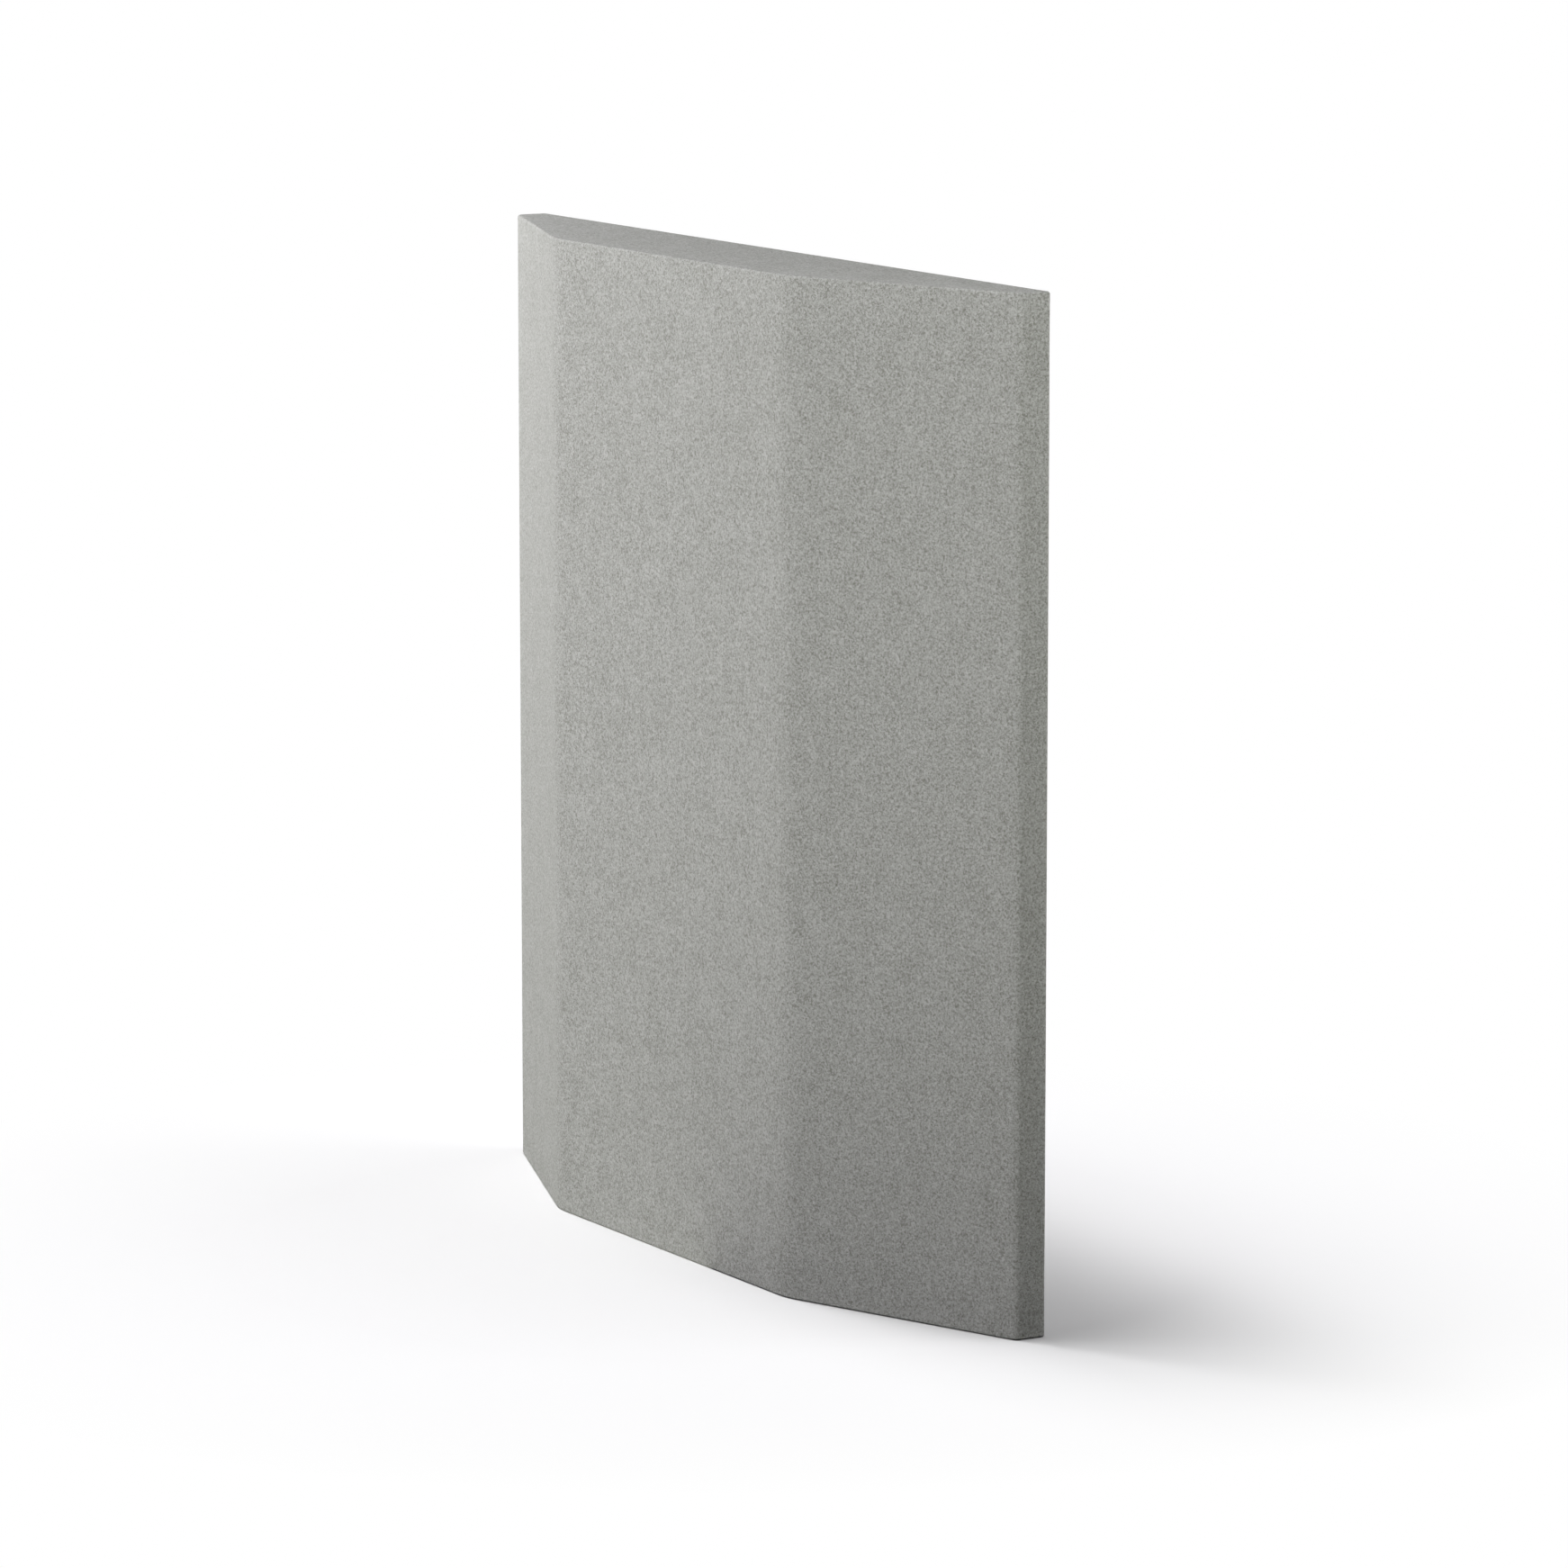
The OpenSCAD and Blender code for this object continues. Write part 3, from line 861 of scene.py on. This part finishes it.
def plywood(name, grain, plies):
    """Plywood whose grain runs along axis grain and whose plies are stacked along axis plies."""
    made = Finish(name, rough=0.6)
    stretch = tuple(GRAIN_LENGTH if axis == grain else 1.0 for axis in "XYZ")
    rings = made.noise(PLY_RING, detail=5.0, rough=0.6, warp=0.5, stretch=stretch)
    pores = made.noise(PLY_PORE, detail=3.0, rough=0.7, stretch=stretch, shift=(3, 1, 2))
    depth = made.node("SeparateXYZ", {"Vector": made.place}).outputs[plies]
    layer = made.math("SINE", made.math("MULTIPLY", depth, math.pi / PLY))
    face = made.ramp(rings, (0.3, PLY_DARK), (0.5, PLY_MIDDLE), (0.72, PLY_LIGHT))
    edge = made.grey(layer, -0.25, 0.25, 0.68, 1.0)
    tone = made.node("CombineColor", {0: edge, 1: edge, 2: edge}).outputs[0]
    colour = made.mix(1.0, face, tone, how="MULTIPLY")
    colour = made.mix(made.grey(pores, 0.6, 0.75, 0.0, 0.5), colour, (*PORE_BROWN, 1))
    rough = made.grey(rings, 0.3, 0.7, 0.5, 0.72)
    return made.finish(colour, rough, made.bump(made.math("ADD", rings, pores), PLY_RELIEF))


rail_ply = plywood("rail_plywood", "X", "Y")
stile_ply = plywood("stile_plywood", "Z", "Y")
former_ply = plywood("former_plywood", "X", "Z")

# %% Beech
BEECH_RING = 2.5 * MM
BEECH_FLECK = 0.5 * MM
BEECH_RELIEF = 0.05 * MM
BEECH_DARK = (0.42, 0.24, 0.13)
BEECH_LIGHT = (0.62, 0.40, 0.24)
FLECK_BROWN = (0.25, 0.12, 0.06)


def beech():
    made = Finish("steamed_beech", rough=0.5)
    rings = made.noise(BEECH_RING, detail=4.0, stretch=(1, 1, 12))
    flecks = made.noise(BEECH_FLECK, detail=2.0, stretch=(1, 1, 5), shift=(4, 4, 1))
    colour = made.ramp(rings, (0.3, BEECH_DARK), (0.7, BEECH_LIGHT))
    colour = made.mix(made.grey(flecks, 0.58, 0.7, 0.0, 0.6), colour, (*FLECK_BROWN, 1))
    rough = made.grey(rings, 0.3, 0.7, 0.42, 0.6)
    return made.finish(colour, rough, made.bump(rings, BEECH_RELIEF))


dowel_beech = beech()

# %% [markdown]
# ### Fillings
# The absorber slabs and the fleece are both polyester fibre. The slabs are pressed, grey-white and layered.
# The fleece is whiter and fluffier, so its bump is deeper and it has more sheen.

# %% Absorber and fleece
TUFT_SIZE = 7
SLAB_DARK = (0.46, 0.46, 0.44)
SLAB_LIGHT = (0.66, 0.66, 0.65)
FLEECE_DARK = (0.68, 0.68, 0.66)
FLEECE_LIGHT = (0.86, 0.86, 0.85)


def fibre_fill(name, dark, light, size, depth, sheen):
    made = Finish(name, rough=0.95)
    strands = made.noise(size, detail=5.0, rough=0.7, warp=1.8, stretch=(1.6, 0.6, 1.6))
    tufts = made.noise(size * TUFT_SIZE, detail=3.0, warp=0.6, shift=(5, 2, 3))
    both = made.math("MULTIPLY_ADD", tufts, 0.5, made.math("MULTIPLY", strands, 0.5))
    colour = made.ramp(both, (0.35, dark), (0.65, light))
    made.shader.inputs["Sheen Weight"].default_value = sheen
    rough = made.grey(strands, 0.3, 0.7, 0.85, 1.0)
    return made.finish(colour, rough, made.bump(both, depth))


slab_fill = fibre_fill("pressed_absorber", SLAB_DARK, SLAB_LIGHT, 1.2 * MM, 0.4 * MM, 0.05)
fleece_fill = fibre_fill("white_fleece", FLEECE_DARK, FLEECE_LIGHT, 2.0 * MM, 0.9 * MM, 0.2)

# %% [markdown]
# ### Metal and rubber
# The hanger plates and screws are steel with a bright zinc coat: fine rolling lines run along the plate,
# the coat clouds in patches, and handling leaves duller marks. Staple wire is drawn, so its lines are finer.
# The rubber of the pads is dull, with a faint bloom and a fine moulded grain.

# %% Zinc and wire
ZINC = (0.58, 0.60, 0.63)
WIRE = (0.60, 0.61, 0.63)
DULLER = 0.84
WARMER = (0.93, 0.92, 0.88)
COAT_CLOUD = 5 * MM
RUB_MARK = 1.5 * MM
STREAK_RELIEF = 0.012 * MM


def metal(name, colour, streak, stretch, rough):
    made = Finish(name, rough=rough, metal=1.0)
    lines = made.noise(streak, detail=3.0, rough=0.65, stretch=stretch)
    patches = made.noise(COAT_CLOUD, detail=4.0, rough=0.6, warp=0.8, shift=(1, 7, 3))
    marks = made.noise(RUB_MARK, detail=3.0, rough=0.7, shift=(6, 2, 8))
    dull = tuple(value * DULLER for value in colour)
    warm = tuple(value * change for value, change in zip(colour, WARMER))
    tone = made.ramp(patches, (0.35, dull), (0.55, colour), (0.75, warm))
    worn = made.grey(marks, 0.52, 0.68, 0.0, 0.12)
    spread = made.grey(lines, 0.3, 0.7, rough - 0.08, rough + 0.10)
    return made.finish(tone, made.math("ADD", spread, worn), made.bump(lines, STREAK_RELIEF))


plate_zinc = metal("rolled_zinc_plate", ZINC, 0.25 * MM, (40, 1, 1), 0.44)
screw_zinc = metal("zinc_plated_screw", ZINC, 0.3 * MM, (1, 1, 1), 0.30)
staple_wire = metal("drawn_staple_wire", WIRE, 0.12 * MM, (8, 1, 8), 0.36)

# %% Rubber
MOULD_GRAIN = 0.35 * MM
BLOOM = 3 * MM
RUBBER_RELIEF = 0.03 * MM
RUBBER_BLACK = (0.014, 0.014, 0.015)
RUBBER_GREY = (0.045, 0.045, 0.047)


def rubber():
    made = Finish("pad_rubber", rough=0.6)
    grain = made.noise(MOULD_GRAIN, detail=2.0)
    bloom = made.noise(BLOOM, detail=3.0, rough=0.6)
    colour = made.ramp(bloom, (0.35, RUBBER_BLACK), (0.75, RUBBER_GREY))
    rough = made.grey(bloom, 0.3, 0.7, 0.5, 0.75)
    return made.finish(colour, rough, made.bump(grain, RUBBER_RELIEF))


rubber_finish = rubber()

# %% [markdown]
# The 15 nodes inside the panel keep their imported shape, and only get a finish.

# %% Finishes for the inner nodes
node_finishes = {
    "frame_top_rail": rail_ply,
    "frame_bottom_rail": rail_ply,
    "frame_left_stile": stile_ply,
    "frame_right_stile": stile_ply,
    "frame_centre_stile": stile_ply,
    "frame_dowels": dowel_beech,
    "top_former": former_ply,
    "bottom_former": former_ply,
    "former_screws": screw_zinc,
    "infill_left": slab_fill,
    "infill_right": slab_fill,
    "core_centre_block": slab_fill,
    "core_left_wedge": slab_fill,
    "core_right_wedge": slab_fill,
    "fleece_wrap": fleece_fill,
}
for node, finish in node_finishes.items():
    for slot in nodes[node].material_slots:
        slot.material = finish
print("new finish on", len(node_finishes), "nodes of the frame")

# %% [markdown]
# ## Putting the pieces on the panel
# Each new piece takes its finish, rides on the panel's one body, and stands for the plain node that held
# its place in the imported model.

# %% Pieces, finishes and nodes
fitted = [
    (panel, felt_finish, "felt", "cover_front_panel"),
    (top_cap, felt_finish, "felt", "cover_top_cap"),
    (bottom_cap, felt_finish, "felt", "cover_bottom_cap"),
    (hem_staples, staple_wire, "staple_wire", "cover_staples"),
    (dust_cover, dust_finish, "dust_cloth", "dust_cover"),
    (dust_staples, staple_wire, "staple_wire", "dust_cover_staples"),
    (left_plate, plate_zinc, "zinc_plated_steel", "hanger_plate_left"),
    (right_plate, plate_zinc, "zinc_plated_steel", "hanger_plate_right"),
    (plate_screws, screw_zinc, "zinc_plated_steel", "hanger_screws"),
    (pads, rubber_finish, "pad_rubber", "wall_pads"),
]
for piece, finish, slot, node in fitted:
    piece.data.materials.clear()
    piece.data.materials.append(finish)
    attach(piece, "root")
    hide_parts(node)
print(len(fitted), "pieces fitted")

# %% [markdown]
# The long piece of felt goes round the panel from hem to hem and loses a square at each corner.
# A cap is the outline of the plan with a hem along its back.

# %% [markdown]
# ## The studio
# The panel stands on a white floor that melts into a white backdrop. The floor is a wide disc. Near the
# panel it is shaded like any surface, so it shows the soft shadow, and further out it blends into plain
# white, so it has no horizon. It throws no light back up, because the glow from below comes from the world.

# %% Discs for the studio
def studio_disc(name, sides, radius, place, grey):
    """A flat disc in a dull grey, from 0 for black to 1 for white. It isn't part of the object."""
    bpy.ops.object.select_all(action="DESELECT")
    bpy.ops.mesh.primitive_circle_add(vertices=sides, radius=radius, fill_type="NGON", location=place)
    disc = bpy.context.object
    disc.name = name
    finish = Finish(name, rough=1.0)
    finish.shader.inputs["Base Color"].default_value = (grey, grey, grey, 1)
    finish.shader.inputs["Specular IOR Level"].default_value = 0.0
    disc.data.materials.append(finish.material)
    print(name, "has a radius of", radius, "m")
    return disc, finish


# %% Floor
FLOOR_SIDES = 128
FLOOR_RADIUS = 6.0
FLOOR_WHITE = 0.9
SHADED_RADIUS = 0.3
PLAIN_RADIUS = 0.6

floor, floor_finish = studio_disc("studio_floor", FLOOR_SIDES, FLOOR_RADIUS, (0, 0, 0), FLOOR_WHITE)
distance = floor_finish.node("VectorMath", {0: floor_finish.place}, operation="LENGTH").outputs["Value"]
plain_share = floor_finish.grey(distance, SHADED_RADIUS, PLAIN_RADIUS)
shaded = floor_finish.shader.outputs["BSDF"]
plain = floor_finish.node("Emission", {}).outputs["Emission"]
blend = floor_finish.node("MixShader", {0: plain_share, 1: shaded, 2: plain}).outputs["Shader"]
floor_output = floor_finish.tree.nodes["Material Output"]
floor_finish.tree.links.new(blend, floor_output.inputs["Surface"])
floor.visible_diffuse = False
floor.visible_glossy = False
floor.visible_shadow = False
print("the floor is plain white from", PLAIN_RADIUS, "m out")

# %% [markdown]
# A real white floor throws light up at the panel, except where the panel shades it. Here the world below the
# horizon gives that glow, and a black card under the floor holds it back below the panel's right end, so
# the panel gets darker towards the floor, most of all at that end. The camera sees neither: it sees plain
# white behind the panel.

# %% Glow from below
GLOW_STRENGTH = 0.555
GLOW_TINT = (0.97, 1.0, 0.88, 1)
WHITE = (1, 1, 1, 1)
CARD_SIDES = 96
CARD_RADIUS = 0.35
CARD_PLACE = (0.4, -0.05, -0.002)

card = studio_disc("studio_card", CARD_SIDES, CARD_RADIUS, CARD_PLACE, 0.0)[0]
card.visible_camera = False

world = bpy.data.worlds.new("studio")
bpy.context.scene.world = world
world.use_nodes = True
sky = world.node_tree
backdrop = sky.nodes["Background"]
backdrop.inputs["Color"].default_value = WHITE
direction = wire(sky, "TexCoord", {}).outputs["Generated"]
rise = wire(sky, "SeparateXYZ", {0: direction}).outputs["Z"]
below = wire(sky, "Math", {0: rise, 1: 0.0}, operation="LESS_THAN").outputs[0]
strength = wire(sky, "Math", {0: below, 1: GLOW_STRENGTH}, operation="MULTIPLY").outputs[0]
glow = wire(sky, "Background", {"Color": GLOW_TINT, "Strength": strength}).outputs[0]
to_camera = wire(sky, "LightPath", {}).outputs["Is Camera Ray"]
seen = wire(sky, "MixShader", {0: to_camera, 1: glow, 2: backdrop.outputs[0]}).outputs[0]
sky.links.new(seen, sky.nodes["World Output"].inputs["Surface"])
print("glow from below", GLOW_STRENGTH)

# %% [markdown]
# In a real studio, flags and cards shade the floor and the panel, so that each gets its own light. Light
# linking does the same: a light gets a collection that says which objects it lights. The keys for the panel
# stand low in front and at the left, so the left bevel is the brightest and the right end the darkest. A
# small light lifts the top of that end, and one behind only shows the back. The floor's own lights come
# mostly from high on the left, so its shadow falls to the right. The tints keep the felt's grey neutral.

# %% Which light falls where
floor_only = bpy.data.collections.new("floor_only")
floor_only.objects.link(floor)
not_floor = bpy.data.collections.new("all_but_the_floor")
not_floor.objects.link(floor)
not_floor.collection_objects[0].light_linking.link_state = "EXCLUDE"
print("collections for the lights:", floor_only.name, "and", not_floor.name)

# %% Soft lights
PANEL_MIDDLE = Vector((0, 0, 0.3))
UPPER_END = Vector((0.3, 0, 0.5))
KEY_TINT = (1.0, 0.995, 1.01)
FILL_TINT = (0.99, 1.0, 0.98)


def soft_light(name, turn, rise, away, width, watts, lit, tint=KEY_TINT, aim=PANEL_MIDDLE):
    """A square soft box, turn degrees round from the front (90 is the right end) and rise degrees up."""
    round_by = math.radians(turn)
    up_by = math.radians(rise)
    level = math.cos(up_by)
    side = Vector((math.sin(round_by) * level, -math.cos(round_by) * level, math.sin(up_by)))
    bpy.ops.object.light_add(type="AREA", location=aim + side * away)
    light = bpy.context.object
    light.name = name
    light.rotation_euler = side.to_track_quat("Z", "Y").to_euler()
    light.data.shape = "SQUARE"
    light.data.size = width
    light.data.energy = watts
    light.data.color = tint
    light.visible_camera = False
    light.light_linking.receiver_collection = lit
    print("light", name, watts, "W")


soft_light("panel_key", -10, 20, 3.0, 1.6, 48.6, not_floor)
soft_light("panel_left_key", -60, 30, 1.3, 0.8, 10.6, not_floor)
soft_light("panel_left", -90, 30, 1.3, 0.8, 3.9, not_floor)
soft_light("panel_right", 60, 30, 3.0, 1.6, 15.0, not_floor, FILL_TINT)
soft_light("panel_top_right", 75, 55, 2.0, 1.2, 14.1, not_floor, FILL_TINT)
soft_light("panel_end", 115, 25, 1.0, 0.4, 3.1, not_floor, FILL_TINT, aim=UPPER_END)
soft_light("panel_back", 180, 0, 3.5, 1.0, 48.0, not_floor)
soft_light("floor_key", -75, 70, 2.5, 0.7, 22.5, floor_only)
soft_light("floor_key_small", -60, 70, 2.5, 0.5, 16.6, floor_only)
soft_light("floor_key_front", -45, 70, 2.5, 1.2, 26.3, floor_only)
soft_light("floor_front", -10, 65, 3.0, 1.6, 7.7, floor_only)
soft_light("floor_back_right", 130, 35, 3.0, 2.4, 34.0, floor_only)
soft_light("floor_back", 180, 60, 2.5, 1.6, 7.8, floor_only)
soft_light("floor_roof", 0, 89.9, 2.5, 5.0, 4.0, floor_only)
